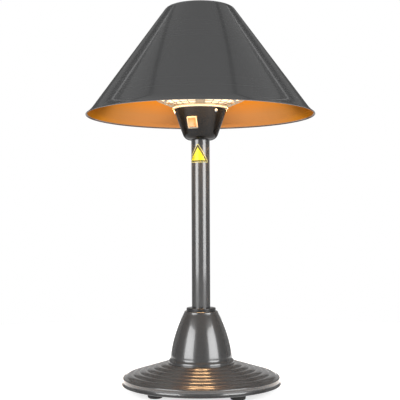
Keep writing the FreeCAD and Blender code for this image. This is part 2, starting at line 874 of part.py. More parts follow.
def make_lamp():
    """Ring lamp: quartz tube, heating coil, ceramic end caps, clips and leads."""
    start = 90 + lamp_gap.value / 2
    sweep = 360 - lamp_gap.value
    glass = cut_from(
        torus(lamp_ring, lamp_radius, lamp_height, start, sweep),
        torus(lamp_ring, lamp_radius - 1, lamp_height, start, sweep),
    )
    node("lamp_tube", glass)
    node("lamp_coil", torus(lamp_ring, 2.2, lamp_height, start, sweep))
    cap_sweep = 5.5
    cap_radius = lamp_radius + 1.3
    caps = [
        torus(lamp_ring, cap_radius, lamp_height, start - cap_sweep, cap_sweep),
        torus(lamp_ring, cap_radius, lamp_height, 90 - lamp_gap.value / 2, cap_sweep),
    ]
    group("lamp_end_caps", caps)

    def clip():
        sideways = Rotation(Vector(1, 0, 0), 90)
        band = cut_from(
            put(cylinder(lamp_radius + 1.2, 8), 0, 4, lamp_height, sideways),
            put(cylinder(lamp_radius + 0.2, 20), 0, 10, lamp_height, sideways),
        )
        strap = block(1, 8, 6.2, 0, 0, lamp_height + lamp_radius + 0.4)
        return joined(band, strap)
    around("lamp_clips", clip, 3, lamp_ring, 30)

    top = cup_top + rim_height
    wires = []
    for side in (-1, 1):
        route = [
            (9 * side, lamp_ring - 8, lamp_height),
            (8 * side, 78, lamp_height - 4),
            (6 * side, 46, top + 12),
            (6 * side, 46, top - 43),
            (6 * side, 6, top - 43),
        ]
        wires.append(tube_along("lamp_leads", route, 1.2, (9, 9, 12)))
    loose_shape("lamp_leads", Part.makeCompound(wires))


def make_reflector():
    """Bright dish over the lamp and the heat shield above it."""
    dish = turned("Dish", [
        (rod_radius + SLIP, dish_seat),
        (30, dish_seat),
        (60, dish_seat + 13.5, -45),
        (113, dish_seat + 12),
        (dish_radius, dish_seat + 9.5),
        (dish_radius + 0.6, dish_seat + 10.4),
        (113.4, dish_seat + 13.1, 46),
        (59.6, dish_seat + 14.6),
        (29.7, dish_seat + 1),
        (rod_radius + SLIP, dish_seat + 1),
    ])
    node("reflector_dish", dish)
    shield = turned("HeatShield", [
        (rod_radius + SLIP, shield_height),
        (94, shield_height),
        (94, shield_height - 5),
        (95, shield_height - 5),
        (95, shield_height + 1),
        (rod_radius + SLIP, shield_height + 1),
    ])
    node("heat_shield", shield)


def make_guard():
    """Wire guard under the lamp: spokes welded on rings."""
    top = cup_top + rim_height + 1.5
    spoke = tube_along("wire_guard", [
        (64, 0, top + 1.8),
        (72, 0, top + 1.8),
        (121, 0, dish_seat + 0.4),
        (121, 0, dish_seat + 12),
    ], guard_wire, (8, 6))
    count = int(guard_spokes.value)
    shapes = []
    for index in range(count):
        copy = spoke.copy()
        copy.rotate(Vector(), Vector(0, 0, 1), (index + 0.5) * 360 / count)
        shapes.append(copy)
    rings = [(64.4, 1.4), (79, 4.1), (93, 10.1), (107, 16.1)]
    for radius, height in rings:
        shapes.append(Part.makeTorus(radius, guard_wire.value, Vector(0, 0, top.value + height), Vector(0, 0, 1)))
    last_ring = Vector(0, 0, dish_seat.value + 11)
    shapes.append(Part.makeTorus(122.2, guard_wire.value, last_ring, Vector(0, 0, 1)))
    loose_shape("wire_guard", shapes[0].multiFuse(shapes[1:]))


def make_post():
    """Threaded rod that carries the lamp and the shade, with its nuts, spacers and sleeve."""
    bore = rod_radius + SLIP
    node("shade_rod", cylinder(rod_radius, rod_top - rod_bottom, rod_bottom))
    top = cup_top + rim_height

    def nut(bottom):
        return cut_from(hexagon(9.8, 8, bottom), cylinder(rod_radius + FIT, 10, bottom - 1))
    group("rod_nuts", [nut(top - 8), nut(top + 1.5)])

    def tube(name, radius, low, high):
        return node(name, turned("Spacer", [(bore, low), (radius, low), (radius, high), (bore, high)]))
    tube("dish_spacer", 11, top + 9.5, dish_seat)
    tube("shield_spacer", 9, dish_seat + 1, shield_height)
    washer_top = shade_top - shade_wall - 0.2 - liner_wall
    tube("rod_sleeve", 9, shield_height + 1, washer_top - 1.5)
    tube("shade_washer", 16, washer_top - 1.5, washer_top)


# ---- shade ----------------------------------------------------------------------------------------

def cone_outline(inset, short):
    """The shade's outer line, moved in by inset and stopped short of the rim: crown to flared rim."""
    sideways = inset * 1.24
    return [
        (24, shade_top - inset),
        (75.3 - inset * 0.2, shade_top - 1.2 - inset, -(17 - inset)),
        (shade_shoulder - inset * 0.81, shade_shoulder_height - inset * 0.59),
        (shade_kink - sideways, shade_kink_height - inset * 0.1, 64),
        (shade_rim - sideways - short * 0.8, shade_rim_height - inset * 0.1 + short * 0.6),
    ]


def turned_round(points):
    """The same line walked the other way: each arc moves to the point it now starts from."""
    places = [point[:2] for point in points]
    bulges = [-as_size(point[2]) if len(point) > 2 else None for point in points]
    walked = []
    for index in range(len(points) - 1, -1, -1):
        bulge = bulges[index - 1] if index > 0 else None
        walked.append((*places[index], bulge) if bulge is not None else places[index])
    return walked


def make_shade():
    hole = rod_radius + SLIP
    outer = cone_outline(0, 0)
    inner = cone_outline(shade_wall, 0)
    bead = [(shade_rim + 0.9, shade_rim_height - 1.2, -1.4), (shade_rim - 1.4, shade_rim_height - 2.0)]
    edge = [(hole, shade_top - shade_wall), (hole, shade_top)]
    shade = turned("Shade", outer + bead + turned_round(inner) + edge)
    node("shade", shade)

    gap = shade_wall + 0.2
    outer = cone_outline(gap, 2)
    inner = cone_outline(gap + liner_wall, 2)
    edge = [(hole, shade_top - gap - liner_wall), (hole, shade_top - gap)]
    liner = turned("Liner", outer + turned_round(inner) + edge)
    node("shade_liner", liner)


def make_finial():
    hole = rod_radius + SLIP
    gasket = turned("Gasket", [(hole, shade_top), (21, shade_top), (21, shade_top + 2), (hole, shade_top + 2)])
    node("shade_gasket", gasket)
    knob = turned("Knob", [
        (rod_radius + FIT, shade_top + 2),
        (knob_radius, shade_top + 2),
        (knob_radius, shade_top + 5, 22),
        (4, shade_top + 14),
        (0, shade_top + 14),
        (0, shade_top + 12),
        (rod_radius + FIT, shade_top + 12),
    ])
    node("shade_knob", knob)


MAKERS = (
    make_feet, make_foot_screws, make_bottom_plate, make_ballast, make_base_pan, make_inlet_bush,
    make_pole_flange, make_flange_fasteners, make_earth_screw, make_pole, make_bell, make_tilt_switch,
    make_sticker, make_cup, make_housing_screws, make_pole_top, make_head_plate, make_terminals,
    make_supply_lead, make_switch, make_lamp, make_reflector, make_guard, make_post, make_shade,
    make_finial,
)


def check_document():
    """Stop if any object failed, or any sub-part has no sound solid."""
    for obj in doc.Objects:
        if "Invalid" in obj.State or "Error" in obj.State:
            raise RuntimeError(f"{obj.Name} ({obj.Label}) failed: {obj.State}")
    for label, obj in nodes.items():
        shape = obj.Shape
        if shape.isNull() or not shape.isValid() or not shape.Solids or shape.Volume <= 0:
            raise RuntimeError(f"{label} has no sound solid")


def main():
    for make in MAKERS:
        make()
    doc.recompute()
    check_document()
    os.makedirs("parts", exist_ok=True)
    for label, obj in nodes.items():
        obj.Shape.exportStep(f"parts/{label}.step")
    print(f"{len(nodes)} sub-parts written")


main()
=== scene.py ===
# %% [markdown]
# # A patio heater with a metal lampshade
#
# This lesson dresses a finished mechanical model. The model arrives as named parts that already
# have the right size and place. Parts whose mesh is good enough only get a finish here. Parts that
# catch the eye are modelled again with more detail, and each new piece stands in for its old part.
# The heater is made of turned metal, so most new pieces are an outline that is spun round the
# upright axis.

# %% Load the mechanical model
import math

import bmesh
import bpy
from mathutils import Matrix, Vector


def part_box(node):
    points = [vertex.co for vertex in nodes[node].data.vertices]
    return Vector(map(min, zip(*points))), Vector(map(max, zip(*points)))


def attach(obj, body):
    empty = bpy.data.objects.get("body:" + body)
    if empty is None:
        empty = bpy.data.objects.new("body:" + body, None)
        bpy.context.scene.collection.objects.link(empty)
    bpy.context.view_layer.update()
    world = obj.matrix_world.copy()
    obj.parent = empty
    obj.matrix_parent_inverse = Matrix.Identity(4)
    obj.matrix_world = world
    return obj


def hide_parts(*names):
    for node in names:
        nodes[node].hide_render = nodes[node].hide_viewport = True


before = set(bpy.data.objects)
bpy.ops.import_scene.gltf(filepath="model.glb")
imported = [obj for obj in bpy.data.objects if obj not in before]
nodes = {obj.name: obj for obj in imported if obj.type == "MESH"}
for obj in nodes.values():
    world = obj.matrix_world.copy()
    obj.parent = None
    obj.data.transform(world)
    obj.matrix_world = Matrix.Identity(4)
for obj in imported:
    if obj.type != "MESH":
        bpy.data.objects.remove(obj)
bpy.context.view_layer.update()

# %% [markdown]
# ## Finishes: the tools they share
#
# Every finish is a Principled shader with a few nodes that vary it. Turned and spun metal carries
# fine rings round its axis. A ring pattern needs only two numbers at each point, how far the point
# is from the axis and how high it is. Feeding those two numbers to a noise texture gives rings on
# a flat disc and on a cone alike, and no seam anywhere. Cast, moulded and painted surfaces use the
# same noise on the plain object coordinates.

# %% Tools for finishes
finishes = {}


def new_finish(slot, colour, metal, rough):
    """A Principled material filed under the name of its material slot."""
    material = bpy.data.materials.new(slot)
    material.use_nodes = True
    tree = material.node_tree
    shader = tree.nodes["Principled BSDF"]
    shader.inputs["Base Color"].default_value = (*colour, 1)
    shader.inputs["Metallic"].default_value = metal
    shader.inputs["Roughness"].default_value = rough
    finishes[slot] = material
    return tree, shader


def object_place(tree):
    """The plain object coordinates, in metres."""
    return tree.nodes.new("ShaderNodeTexCoord").outputs["Object"]


def ring_place(tree):
    """Coordinates (distance from the axis, 0, height), so that a pattern turns into rings."""
    flatten = tree.nodes.new("ShaderNodeVectorMath")
    flatten.operation = "MULTIPLY"
    flatten.inputs[1].default_value = (1, 1, 0)
    reach = tree.nodes.new("ShaderNodeVectorMath")
    reach.operation = "LENGTH"
    split = tree.nodes.new("ShaderNodeSeparateXYZ")
    join = tree.nodes.new("ShaderNodeCombineXYZ")
    place = object_place(tree)
    tree.links.new(place, flatten.inputs[0])
    tree.links.new(flatten.outputs["Vector"], reach.inputs[0])
    tree.links.new(place, split.inputs["Vector"])
    tree.links.new(reach.outputs["Value"], join.inputs["X"])
    tree.links.new(split.outputs["Z"], join.inputs["Z"])
    return join.outputs["Vector"]


def noise(tree, place, scale, detail=3.0):
    """Noise whose features are about 1 / scale metres wide."""
    texture = tree.nodes.new("ShaderNodeTexNoise")
    texture.inputs["Scale"].default_value = scale
    texture.inputs["Detail"].default_value = detail
    tree.links.new(place, texture.inputs["Vector"])
    return texture.outputs["Fac"]


def vary_colour(tree, shader, pattern, dark, light, socket="Base Color"):
    """Runs a colour from dark to light over the middle of the pattern's range."""
    ramp = tree.nodes.new("ShaderNodeValToRGB")
    ramp.color_ramp.elements[0].position = 0.3
    ramp.color_ramp.elements[0].color = (*dark, 1)
    ramp.color_ramp.elements[1].position = 0.7
    ramp.color_ramp.elements[1].color = (*light, 1)
    tree.links.new(pattern, ramp.inputs["Fac"])
    tree.links.new(ramp.outputs["Color"], shader.inputs[socket])


def vary_rough(tree, shader, pattern, low, high):
    """Runs the roughness from low to high over the middle of the pattern's range."""
    spread = tree.nodes.new("ShaderNodeMapRange")
    spread.inputs["From Min"].default_value = 0.3
    spread.inputs["From Max"].default_value = 0.7
    spread.inputs["To Min"].default_value = low
    spread.inputs["To Max"].default_value = high
    tree.links.new(pattern, spread.inputs["Value"])
    tree.links.new(spread.outputs["Result"], shader.inputs["Roughness"])


def raise_grain(tree, shader, pattern, height, strength=1.0):
    """Bump from a pattern; height is in metres."""
    bump = tree.nodes.new("ShaderNodeBump")
    bump.inputs["Distance"].default_value = height
    bump.inputs["Strength"].default_value = strength
    tree.links.new(pattern, bump.inputs["Height"])
    tree.links.new(bump.outputs["Normal"], shader.inputs["Normal"])


print("finishes to start with:", len(finishes))

# %% [markdown]
# ## Painted metal
#
# The shade, the foot, its bell and the pole are steel or aluminium with a dark grey metallic
# lacquer. A lacquer has two layers. The paint below is darkish, with a broad soft sheen from its
# metal flakes. The clear layer on top gives the crisp highlight of a lamp or a window. The
# Principled shader has both: a part-metallic base with a middling roughness, and a coat. The
# spinning tool's rings show faintly through the shade's paint, so they get a very low bump there.
# The cup's moulding is so dark that nearly all it shows is reflection, and a low specular level
# keeps that down.

# %% Lacquers
def lacquer(slot, dark, light, metal, rough, coat, coat_rough, ring_height):
    """Flaked paint under a clear coat. Rings of ring_height, in metres, show through it."""
    tree, shader = new_finish(slot, light, metal, rough)
    rings = noise(tree, ring_place(tree), 140, 5.0)
    flakes = noise(tree, object_place(tree), 900, 2.0)
    vary_colour(tree, shader, flakes, dark, light)
    vary_rough(tree, shader, rings if ring_height else flakes, rough - 0.04, rough + 0.05)
    if ring_height:
        raise_grain(tree, shader, rings, ring_height, 0.6)
    shader.inputs["Coat Weight"].default_value = coat
    shader.inputs["Coat Roughness"].default_value = coat_rough
    return shader


GUNMETAL_DARK = (0.072, 0.073, 0.074)
GUNMETAL_LIGHT = (0.094, 0.095, 0.096)
for slot, ring_height in (("gunmetal_paint", 0), ("shade_paint", 0.000005)):
    lacquer(slot, GUNMETAL_DARK, GUNMETAL_LIGHT, 0.45, 0.24, 0.6, 0.07, ring_height)
CUP_DARK = (0.004, 0.004, 0.004)
CUP_LIGHT = (0.007, 0.007, 0.007)
cup_shader = lacquer("black_housing", CUP_DARK, CUP_LIGHT, 0.0, 0.12, 0.0, 0.08, 0.000004)
cup_shader.inputs["Specular IOR Level"].default_value = 0.2
lacquer("gloss_black_plastic", (0.012, 0.012, 0.013), (0.017, 0.017, 0.018), 0.0, 0.28, 0.3, 0.08, 0.00003)
lacquer("black_paint", (0.02, 0.02, 0.021), (0.03, 0.03, 0.032), 0.1, 0.5, 0.1, 0.3, 0.0001)
print("lacquers:", sorted(finishes))

# %% [markdown]
# ## Bare metal
#
# The dish over the lamp is bright aluminium, the guard is steel wire and the fasteners are plated
# steel. All are fully metallic, so their colour sits in the base colour and their character sits
# in the roughness. Spun sheet reflects in streaks across its rings, and a bump of fine rings does
# that in every renderer. The dish is lit from a few millimetres away, which a small warm emission
# of its own stands for. The warm tan tint in the colour of the dish and of the bright steel is
# painted lamp light too.

# %% Bare metal
def spun_metal(slot, dark, light, rough, ring_scale, ring_height):
    """Bare sheet with the rings of the spinning tool."""
    tree, shader = new_finish(slot, light, 1.0, rough)
    rings = noise(tree, ring_place(tree), ring_scale, 6.0)
    vary_colour(tree, shader, rings, dark, light)
    vary_rough(tree, shader, rings, rough - 0.05, rough + 0.06)
    raise_grain(tree, shader, rings, ring_height, 0.7)
    return shader


def plated_metal(slot, dark, light, rough):
    """Plated, cast or plain metal with soft clouds in it."""
    tree, shader = new_finish(slot, light, 1.0, rough)
    clouds = noise(tree, object_place(tree), 260, 4.0)
    vary_colour(tree, shader, clouds, dark, light)
    vary_rough(tree, shader, clouds, rough - 0.06, rough + 0.08)
    raise_grain(tree, shader, clouds, 0.00002, 0.5)


# Painted light: the dish's warm tan tint and its warm emission stand for the lamp's light on bare aluminium.
DISH_LAMP_TINT_DARK = (0.58, 0.48, 0.35)
DISH_LAMP_TINT_LIGHT = (0.66, 0.56, 0.42)
dish_shader = spun_metal("polished_aluminium", DISH_LAMP_TINT_DARK, DISH_LAMP_TINT_LIGHT, 0.4, 300, 0.00002)
dish_shader.inputs["Emission Color"].default_value = (1.0, 0.80, 0.52, 1)
dish_shader.inputs["Emission Strength"].default_value = 0.75
spun_metal("plain_aluminium", (0.60, 0.60, 0.60), (0.75, 0.75, 0.74), 0.34, 260, 0.00008)
# Painted light: the warm tint of the bright steel stands for the lamp's warm light falling on it.
spun_metal("bright_steel", (0.42, 0.37, 0.29), (0.50, 0.44, 0.35), 0.5, 400, 0.00003)
plated_metal("zinc_steel", (0.36, 0.37, 0.38), (0.48, 0.49, 0.50), 0.34)
plated_metal("plain_steel", (0.36, 0.36, 0.37), (0.50, 0.50, 0.51), 0.38)
plated_metal("brass", (0.70, 0.49, 0.20), (0.84, 0.62, 0.29), 0.28)
plated_metal("cast_weight", (0.10, 0.10, 0.105), (0.17, 0.165, 0.16), 0.7)
print("finishes so far:", len(finishes))

# %% [markdown]
# ## The copper inside the shade
#
# The inside of the shade is spun sheet with a copper colour. Its colour carries painted light: it is
# painted a deeper, brighter orange high up, where the lamp lights it most, and a duller brown towards
# the rim, where less of that light falls. The height is mapped to a number, a little of the ring
# pattern is added, and the sum runs the colour from the painted shaded brown to the painted lit
# orange. Metal turns white where the eye skims along it; the specular tint keeps that sheen golden.

# %% Copper
# Painted light: the heights over which the copper runs from a shaded brown to a lit orange, and those two
# colours.
PAINTED_LIGHT_LOW = 0.69
PAINTED_LIGHT_HIGH = 0.79
RING_SHARE = 0.4
COPPER_SHADED_BROWN = (0.44, 0.185, 0.055)
COPPER_LIT_ORANGE = (0.60, 0.19, 0.012)
GOLDEN_SHEEN = (1.0, 0.55, 0.2, 1)

copper_tree, copper = new_finish("copper_reflector", COPPER_LIT_ORANGE, 1.0, 0.34)
copper.inputs["Specular Tint"].default_value = GOLDEN_SHEEN
rings = noise(copper_tree, ring_place(copper_tree), 220, 6.0)
vary_rough(copper_tree, copper, rings, 0.29, 0.40)
raise_grain(copper_tree, copper, rings, 0.00005, 0.7)
heights = copper_tree.nodes.new("ShaderNodeSeparateXYZ")
copper_tree.links.new(object_place(copper_tree), heights.inputs["Vector"])
# Painted light: the copper's colour runs from shaded brown low down to lit orange high up, where the lamp
# lights it most.
painted_light_by_height = copper_tree.nodes.new("ShaderNodeMapRange")
painted_light_by_height.inputs["From Min"].default_value = PAINTED_LIGHT_LOW
painted_light_by_height.inputs["From Max"].default_value = PAINTED_LIGHT_HIGH
painted_light_by_height.inputs["To Min"].default_value = -RING_SHARE / 2
painted_light_by_height.inputs["To Max"].default_value = 1 - RING_SHARE / 2
copper_tree.links.new(heights.outputs["Z"], painted_light_by_height.inputs["Value"])
rings_and_painted_light = copper_tree.nodes.new("ShaderNodeMath")
rings_and_painted_light.operation = "MULTIPLY_ADD"
rings_and_painted_light.inputs[1].default_value = RING_SHARE
copper_tree.links.new(rings, rings_and_painted_light.inputs[0])
copper_tree.links.new(painted_light_by_height.outputs["Result"], rings_and_painted_light.inputs[2])
vary_colour(copper_tree, copper, rings_and_painted_light.outputs["Value"], COPPER_SHADED_BROWN, COPPER_LIT_ORANGE)
print("finishes so far:", len(finishes))

# %% [markdown]
# ## Plastics, rubber, ceramic and the lead's sheath
#
# Moulded parts keep a fine spark-eroded texture from their mould. Rubber is rougher and almost
# black. Ceramic is white, chalky and a little blotchy. The cup's switch glows: its rocker is a
# translucent amber plastic with a small lamp behind it.

# %% Moulded finishes
def moulded(slot, dark, light, rough, grain_scale, grain_height):
    """Plastic, rubber, ceramic or vinyl: broad clouds of colour and a fine grain."""
    tree, shader = new_finish(slot, light, 0.0, rough)
    grain = noise(tree, object_place(tree), grain_scale, 3.0)
    clouds = noise(tree, object_place(tree), grain_scale * 0.12, 2.0)
    vary_colour(tree, shader, clouds, dark, light)
    vary_rough(tree, shader, grain, rough - 0.06, rough + 0.08)
    raise_grain(tree, shader, grain, grain_height, 0.6)
    return tree, shader


moulded("black_rubber", (0.012, 0.012, 0.012), (0.024, 0.023, 0.022), 0.72, 1500, 0.00006)
moulded("grey_plastic", (0.10, 0.10, 0.105), (0.15, 0.15, 0.155), 0.45, 1800, 0.00004)
moulded("white_ceramic", (0.74, 0.72, 0.67), (0.86, 0.85, 0.81), 0.55, 900, 0.00005)
moulded("lead_sheath", (0.02, 0.02, 0.02), (0.035, 0.035, 0.035), 0.5, 1200, 0.00004)
moulded("silicone_lead", (0.55, 0.16, 0.09), (0.66, 0.22, 0.12), 0.42, 1400, 0.00003)
moulded("cream_plastic", (0.34, 0.28, 0.19), (0.40, 0.33, 0.23), 0.35, 2000, 0.00002)
amber_tree, amber = moulded("amber_plastic", (0.25, 0.125, 0.04), (0.30, 0.155, 0.055), 0.22, 700, 0.00001)
glow = noise(amber_tree, object_place(amber_tree), 120, 1.0)
vary_colour(amber_tree, amber, glow, (0.80, 0.42, 0.14), (0.95, 0.60, 0.25), "Emission Color")
amber.inputs["Emission Strength"].default_value = 0.04
moulded("yellow_vinyl", (0.46, 0.45, 0.006), (0.52, 0.51, 0.01), 0.45, 300, 0.00002)
moulded("sticker_margin", (0.34, 0.34, 0.14), (0.40, 0.40, 0.18), 0.4, 300, 0.00002)
moulded("sticker_border", (0.03, 0.028, 0.004), (0.05, 0.046, 0.006), 0.6, 300, 0.00002)
print("finishes so far:", len(finishes))

# %% [markdown]
# ## The glowing lamp
#
# A quartz heater is a clear tube with a coil of resistance wire in it. The wire glows orange-white
# and lights the copper. The tube is real glass with a wall, so the coil shows through it; quartz
# lamps of this kind are often lightly frosted by use, and a faint streak pattern in the roughness
# shows that.

# %% Hot wire and quartz
coil_tree, coil = new_finish("hot_coil", (0.35, 0.25, 0.18), 0.6, 0.5)
heat = noise(coil_tree, object_place(coil_tree), 60, 2.0)
vary_colour(coil_tree, coil, heat, (1.0, 0.60, 0.28), (1.0, 0.74, 0.42), "Emission Color")
coil.inputs["Emission Strength"].default_value = 2.5

quartz_tree, quartz = new_finish("quartz", (1.0, 0.96, 0.90), 0.0, 0.08)
quartz.inputs["Transmission Weight"].default_value = 1.0
quartz.inputs["IOR"].default_value = 1.46
frost = noise(quartz_tree, object_place(quartz_tree), 90, 3.0)
vary_rough(quartz_tree, quartz, frost, 0.02, 0.16)
vary_colour(quartz_tree, quartz, frost, (1.0, 0.80, 0.52), (1.0, 0.88, 0.66), "Emission Color")
quartz.inputs["Emission Strength"].default_value = 0.25
print("finishes:", len(finishes))

# %% [markdown]
# ## Finishes on the parts that stay
#
# Each part of the mechanical model comes with the name of its material slot. Parts that stay as
# they are only need that name turned into a finish. The loop covers every part, so that nothing is
# left plain, even where a new piece will hide it.

# %% Give every part the finish of its slot
for part in nodes.values():
    for holder in part.material_slots:
        holder.material = finishes[holder.material.name.split(".")[0]]
print("parts with a finish:", sum(bool(part.material_slots) for part in nodes.values()))

# %% [markdown]
# ## Turning: an outline spun round the axis
#
# Spun sheet, tube and turned parts share one recipe. Half of the cross-section is drawn as a wire,
# in millimetres from the axis and from the floor, and the spin operator sweeps it once round. An
# arc in the outline is itself made by spinning the last point about the arc's centre, so nothing
# has to be worked out by hand. Where the wire touches the axis, merging the doubles closes the
# pole. Because the wire runs round both faces of the sheet, the wall has its real thickness.

# %% Tools for turned pieces
MM = 0.001
TURN_STEPS = 192
ARC_STEP = math.radians(9)
LONGEST_STEP = 6 * MM


def bent_edge(bm, start, end, bend):
    """Sweeps the vertex start to the point end along an arc. A positive bend bulges to the right of
    the way it travels, with radius and height as the two axes."""
    chord = end - start.co
    side = Vector((chord.z, 0, -chord.x)).normalized() * math.copysign(1, bend)
    radius = abs(bend)
    depth = math.sqrt(radius ** 2 - (chord.length / 2) ** 2)
    centre = (start.co + end) / 2 - side * depth
    angle = 2 * math.asin(chord.length / 2 / radius)
    steps = max(2, math.ceil(angle / ARC_STEP), math.ceil(chord.length / LONGEST_STEP))
    way = (0, -math.copysign(1, bend), 0)
    swept = bmesh.ops.spin(bm, geom=[start], cent=centre, axis=way, angle=angle, steps=steps)
    return next(item for item in swept["geom_last"] if isinstance(item, bmesh.types.BMVert))


def draw_outline(bm, corners):
    """A closed wire through (radius, height) corners; a third number bends the edge that follows."""
    last = bm.verts.new(Vector((corners[0][0], 0, corners[0][1])) * MM)
    for here, following in zip(corners, corners[1:] + corners[:1]):
        end = Vector((following[0], 0, following[1])) * MM
        if len(here) == 3:
            last = bent_edge(bm, last, end, here[2] * MM)
        else:
            grown = bmesh.ops.extrude_vert_indiv(bm, verts=[last])
            last = grown["verts"][0]
            last.co = end
    bmesh.ops.remove_doubles(bm, verts=bm.verts, dist=0.01 * MM)


def turned(corners, steps=TURN_STEPS):
    """A closed outline swept once round the upright axis."""
    bm = bmesh.new()
    draw_outline(bm, corners)
    bmesh.ops.spin(
        bm, geom=bm.verts[:] + bm.edges[:], cent=(0, 0, 0), axis=(0, 0, 1),
        angle=math.tau, steps=steps, use_merge=True,
    )
    bmesh.ops.remove_doubles(bm, verts=bm.verts, dist=0.01 * MM)
    bmesh.ops.recalc_face_normals(bm, faces=bm.faces)
    return bm


def settle(name, bm, slot, stands_for=(), body="heater", crease=32, extra=()):
    """Turns a bmesh into a finished piece: smooth, sharp at its creases, on its body. Extra names
    the finishes its faces use besides the first."""
    mesh = bpy.data.meshes.new(name)
    for finish in (slot, *extra):
        mesh.materials.append(finishes[finish])
    bm.to_mesh(mesh)
    bm.free()
    mesh.shade_smooth()
    mesh.set_sharp_from_angle(angle=math.radians(crease))
    piece = bpy.data.objects.new(name, mesh)
    bpy.context.scene.collection.objects.link(piece)
    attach(piece, body)
    if stands_for:
        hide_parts(*stands_for)
    print(name, "faces:", len(mesh.polygons))
    return piece


print("steps in one full turn:", TURN_STEPS)

# %% [markdown]
# ## The shade and its copper lining
#
# The shade is one sheet of metal, spun over a former: a flat crown, a tight shoulder, a long
# straight cone and a rim that flares out and is rolled over. The lining repeats the same line a
# little further in and stops just short of the rolled rim, where it leaves the fine shadow line
# that the real shade has.

# %% Shade shell and lining
ROD_HOLE = 5.3
CROWN = 961
SHEET = 1.0
LINING_GAP = 1.2
LINING_SHEET = 0.6


def shade_line(inset, short):
    """Crown to rim, moved inwards by inset and stopped short of the rim."""
    sideways = inset * 1.24
    return [
        (24, CROWN - inset),
        (75.3 - inset * 0.2, CROWN - 1.2 - inset, inset - 17),
        (89 - inset * 0.81, 952.8 - inset * 0.59),
        (269 - sideways, 706.6 - inset * 0.1, 64),
        (285 - sideways - short * 0.8, 691.2 - inset * 0.1 + short * 0.6),
    ]


def walked_back(corners):
    """The same line from its end to its start, with every bend on the other side."""
    back = []
    for index in range(len(corners) - 1, -1, -1):
        before = corners[index - 1] if index else ()
        back.append((*corners[index][:2], -before[2]) if len(before) == 3 else corners[index][:2])
    return back


rolled_rim = [(285.9, 690.0, -1.4), (283.6, 689.2)]
shell_edge = [(ROD_HOLE, CROWN - SHEET), (ROD_HOLE, CROWN)]
shell = turned(shade_line(0, 0) + rolled_rim + walked_back(shade_line(SHEET, 0)) + shell_edge)
settle("shade_shell", shell, "shade_paint", ["shade"])

lining_in = LINING_GAP + LINING_SHEET
lining_edge = [(ROD_HOLE, CROWN - lining_in), (ROD_HOLE, CROWN - LINING_GAP)]
lining = turned(shade_line(LINING_GAP, 2) + walked_back(shade_line(lining_in, 2)) + lining_edge)
settle("copper_lining", lining, "copper_reflector", ["shade_liner"])

# %% [markdown]
# ## The foot
#
# The foot's cover is spun too. Six round ridges step down from the seat of the bell to the rounded
# shoulder, and the wall below it flares out into a thin lip. The ridges are what the light plays
# on, so each gets its own arc in the outline.

# %% Foot cover
RIDGE_START = 86
RIDGE_PITCH = 17
RIDGE_DROP = 5.2
RIDGE_ARC = 16.5
SEAT_HEIGHT = 72
FOOT_SHEET = 1.2

valleys = [(RIDGE_START + RIDGE_PITCH * k, SEAT_HEIGHT - RIDGE_DROP * k) for k in range(7)]
lowered = [(radius, height - FOOT_SHEET) for radius, height in reversed(valleys)]
foot_line = [(20, SEAT_HEIGHT), (RIDGE_START - 2, SEAT_HEIGHT)]
foot_line += [(radius, height, -RIDGE_ARC) for radius, height in valleys[:-1]]
foot_line += [
    valleys[-1], (193.4, 39.1, -3.6), (193.6, 32.2), (193.6, 26.2, 9), (198.5, 20.8), (197.3, 19.5),
    (195.8, 19.5), (192.4, 26.6), (192.4, 37.0),
]
foot_line += [(radius, height, RIDGE_ARC) for radius, height in lowered[:-1]]
foot_line += [lowered[-1], (RIDGE_START - 2, SEAT_HEIGHT - FOOT_SHEET), (20, SEAT_HEIGHT - FOOT_SHEET)]
settle("foot_cover", turned(foot_line), "gunmetal_paint", ["base_pan"])

# %% [markdown]
# ## The bell, its collar and the pole
#
# The bell is a waisted cover that hides the bolts at the foot of the pole. A moulded collar closes
# its top and has two fine grooves round it. The pole is plain welded tube; its edges are eased,
# because a cut edge with no width never catches the light.

# %% Bell, collar and pole
bell_line = [
    (27, 200.3), (38.8, 200.3, -2.8), (41.2, 197.5), (41.3, 196.5, -350), (76.2, 89.6, 14),
    (81.1, 78.2), (81.1, 72), (82.3, 72), (82.3, 78), (82.0, 78.6, -13), (77.4, 89.3, 350),
    (42.5, 197.0), (42.3, 197.9, 3.8), (39.5, 201.5), (27, 201.5),
]
settle("bell_shell", turned(bell_line), "gunmetal_paint", ["bell_cover"])

collar_line = [
    (23.3, 196), (26.8, 196), (26.8, 201.5), (36.2, 201.5), (36.6, 201.9), (36.6, 203.6),
    (36.2, 203.9), (36.2, 204.3), (36.6, 204.6), (36.6, 206.2), (36.2, 206.5), (36.2, 206.9),
    (36.6, 207.2), (36.6, 207.5, 2), (34.6, 209.5), (24.0, 209.5), (23.3, 208.8),
]
settle("pole_collar", turned(collar_line, 128), "gloss_black_plastic", ["bell_collar"])

pole_line = [
    (21.5, 76.4), (21.9, 76), (22.6, 76), (23, 76.4), (23, 628.2), (22.6, 628.7), (21.9, 628.7),
    (21.5, 628.2),
]
settle("painted_pole", turned(pole_line, 128), "gunmetal_paint", ["pole_tube"])

# %% [markdown]
# ## The warning triangle, left blank
#
# A yellow vinyl triangle is stuck round the pole. It starts flat: three rounded triangles, one
# inside the other, bridged by faces, so the pale margin and the dark border have their own finish.
# Upright cuts every few degrees let the flat shape follow the tube when it is rolled on, and the
# solidify operator gives the vinyl its thickness.

# %% Triangle
STICKER_RADIUS = 23.05
STICKER_TURN = math.radians(-17)
STICKER_HALF = 29
STICKER_LOW = 571.6
STICKER_HIGH = 620.4
CUT_WIDTH = 1.6
CORNERS = [
    Vector((-STICKER_HALF, STICKER_LOW)), Vector((STICKER_HALF, STICKER_LOW)),
    Vector((0, STICKER_HIGH)),
]


